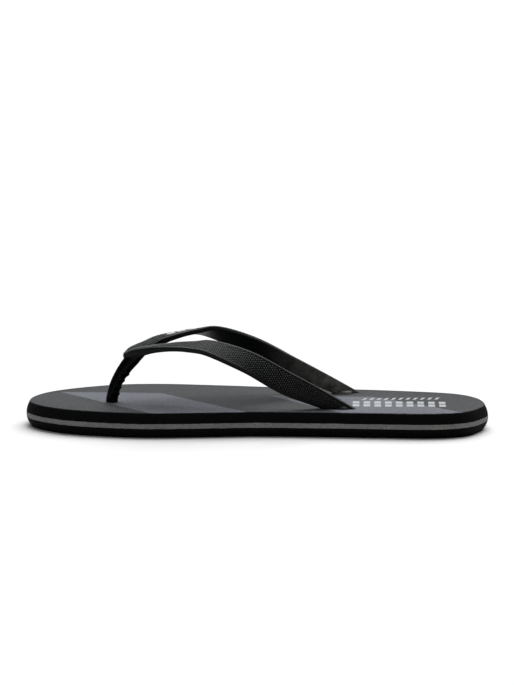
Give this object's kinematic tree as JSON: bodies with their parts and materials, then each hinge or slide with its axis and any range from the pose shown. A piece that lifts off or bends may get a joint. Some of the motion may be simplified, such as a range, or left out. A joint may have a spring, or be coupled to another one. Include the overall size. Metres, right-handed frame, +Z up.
{
  "type": "flip flop",
  "caption": "Right-foot flip flop: laminated foam sole with a grey stripe layer, printed footbed and a one-piece moulded Y strap plugged through the sole.",
  "frame": {"origin": "on the ground, below the middle of the sole's bounding box", "axes": "+X from the toe to the heel, +Y to the outer side of the right foot, +Z up"},
  "size_m": [0.275, 0.106, 0.0582],
  "materials": {
    "footbed_print": "pebbled, printed in two greys",
    "black_foam": "buffed foam",
    "grey_foam": "buffed foam",
    "outsole_rubber": "buffed, grooved underneath",
    "strap_rubber": "moulded, satin, textured outer face",
    "badge_inlay": "satin"
  },
  "bodies": {
    "root": {"footbed_sheet": "footbed_print", "upper_foam": "black_foam", "stripe_layer": "grey_foam", "outsole": "outsole_rubber", "strap": "strap_rubber", "badge": "badge_inlay"}
  },
  "joints": []
}
